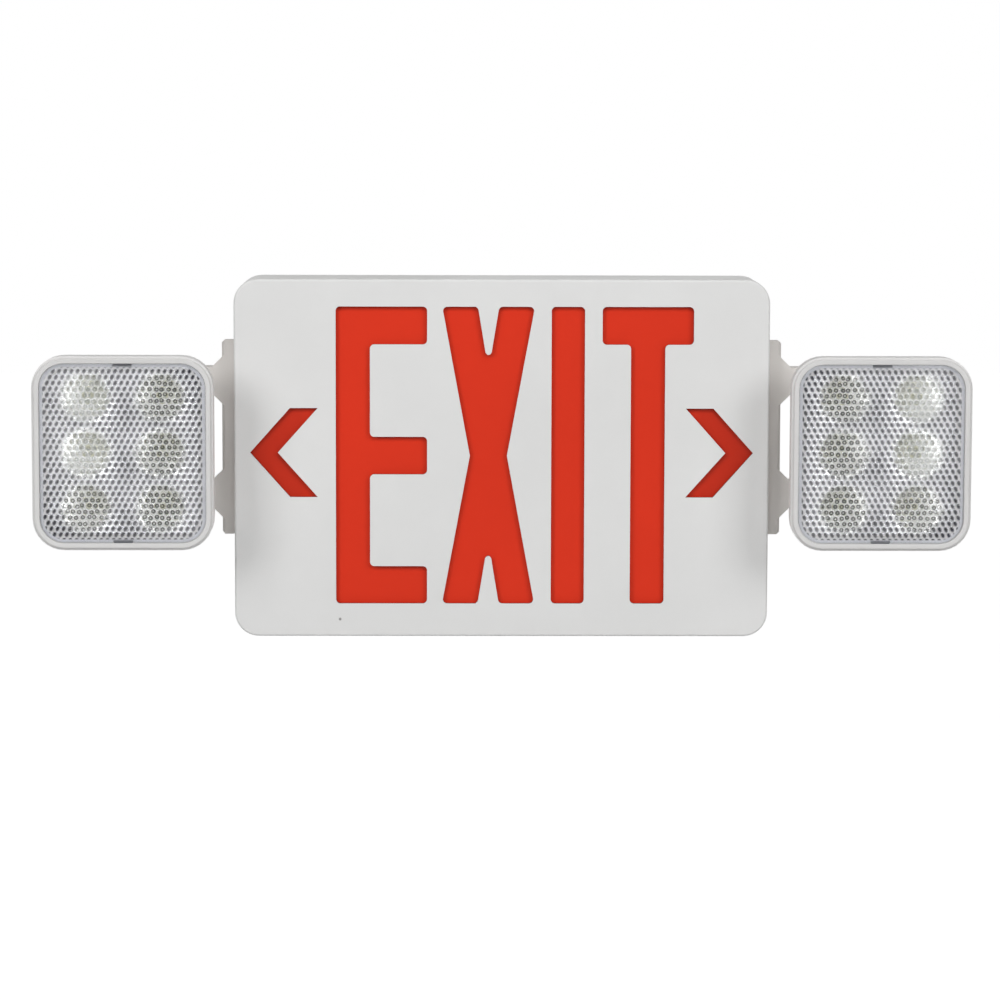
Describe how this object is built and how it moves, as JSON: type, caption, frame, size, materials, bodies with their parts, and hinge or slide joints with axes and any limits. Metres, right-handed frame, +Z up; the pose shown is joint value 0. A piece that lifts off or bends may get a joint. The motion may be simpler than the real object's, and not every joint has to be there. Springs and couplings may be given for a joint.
{
  "type": "emergency exit light",
  "caption": "Wall-mounted emergency exit light: a white box with an exit legend and chevrons cut over a red panel, and square prismatic lamp heads on yokes at its sides.",
  "frame": {"origin": "centre of the back plate's rear face, on the wall plane, where the wire entry opens", "axes": "+Z up, +X to the right as seen from in front, the legend faces -Y and +Y points into the wall"},
  "size_m": [0.514, 0.084, 0.2025],
  "materials": {
    "white_plastic": "fine satin texture",
    "red_panel": "satin translucent",
    "clear_lens": "clear prismatic",
    "bright_reflector": "metallised",
    "circuit_board": "solder mask",
    "white_board": "white solder mask",
    "core_steel": "varnished laminations",
    "black_plastic": "moulded",
    "green_plastic": "moulded",
    "cream_plastic": "moulded",
    "plated_steel": "zinc plated",
    "battery_sleeve": "shrink sleeve",
    "button_red": "moulded",
    "indicator_green": "tinted resin",
    "led_resin": "silicone dome",
    "lead_insulation": "smooth",
    "nylon": "moulded"
  },
  "bodies": {
    "housing_body": {"back_plate": "white_plastic", "main_board": "circuit_board", "transformer": "core_steel", "capacitors": "black_plastic", "relay": "black_plastic", "supply_terminals": "green_plastic", "board_plugs": "cream_plastic", "board_screws": "plated_steel", "battery_pack": "battery_sleeve", "battery_strap": "plated_steel", "strap_screws": "plated_steel", "housing": "white_plastic", "test_board": "circuit_board", "test_switch": "black_plastic", "indicator_lamp": "indicator_green", "light_tray": "white_plastic", "tray_screws": "plated_steel", "sign_leds": "led_resin", "diffuser": "red_panel", "faceplate": "white_plastic", "upper_led_strip": "white_board", "lower_led_strip": "white_board", "battery_lead": "lead_insulation", "test_lead": "lead_insulation", "sign_lead": "lead_insulation"},
    "test_button": {"test_button": "button_red"},
    "yoke_left": {"yoke_left": "white_plastic", "swivel_washer_left": "nylon", "swivel_nut_left": "nylon"},
    "head_left": {"bezel_left": "white_plastic", "lens_left": "clear_lens", "reflector_left": "bright_reflector", "lamp_board_left": "white_board", "lamp_leds_left": "led_resin", "rear_shell_left": "white_plastic", "pivot_screws_left": "plated_steel", "pivot_washers_left": "nylon"},
    "yoke_right": {"yoke_right": "white_plastic", "swivel_washer_right": "nylon", "swivel_nut_right": "nylon"},
    "head_right": {"bezel_right": "white_plastic", "lens_right": "clear_lens", "reflector_right": "bright_reflector", "lamp_board_right": "white_board", "lamp_leds_right": "led_resin", "rear_shell_right": "white_plastic", "pivot_screws_right": "plated_steel", "pivot_washers_right": "nylon"}
  },
  "joints": [
    {"name": "yoke_tilt_left", "type": "hinge", "parent": "housing_body", "child": "yoke_left", "pos_m": [-0.149, -0.024, 0.011], "axis": [1, 0, 0], "range_deg": [-30, 30]},
    {"name": "yoke_tilt_right", "type": "hinge", "parent": "housing_body", "child": "yoke_right", "pos_m": [0.149, -0.024, 0.011], "axis": [1, 0, 0], "range_deg": [-30, 30]},
    {"name": "head_pan_left", "type": "hinge", "parent": "yoke_left", "child": "head_left", "pos_m": [-0.2075, -0.029, 0.011], "axis": [0, 0, -1], "range_deg": [-8, 60]},
    {"name": "head_pan_right", "type": "hinge", "parent": "yoke_right", "child": "head_right", "pos_m": [0.2075, -0.029, 0.011], "axis": [0, 0, 1], "range_deg": [-8, 60]},
    {"name": "test_button_press", "type": "slide", "parent": "housing_body", "child": "test_button", "axis": [0, 0, 1], "range_m": [0, 0.0015], "stiffness_N_per_m": 600, "springref_m": -0.001}
  ]
}
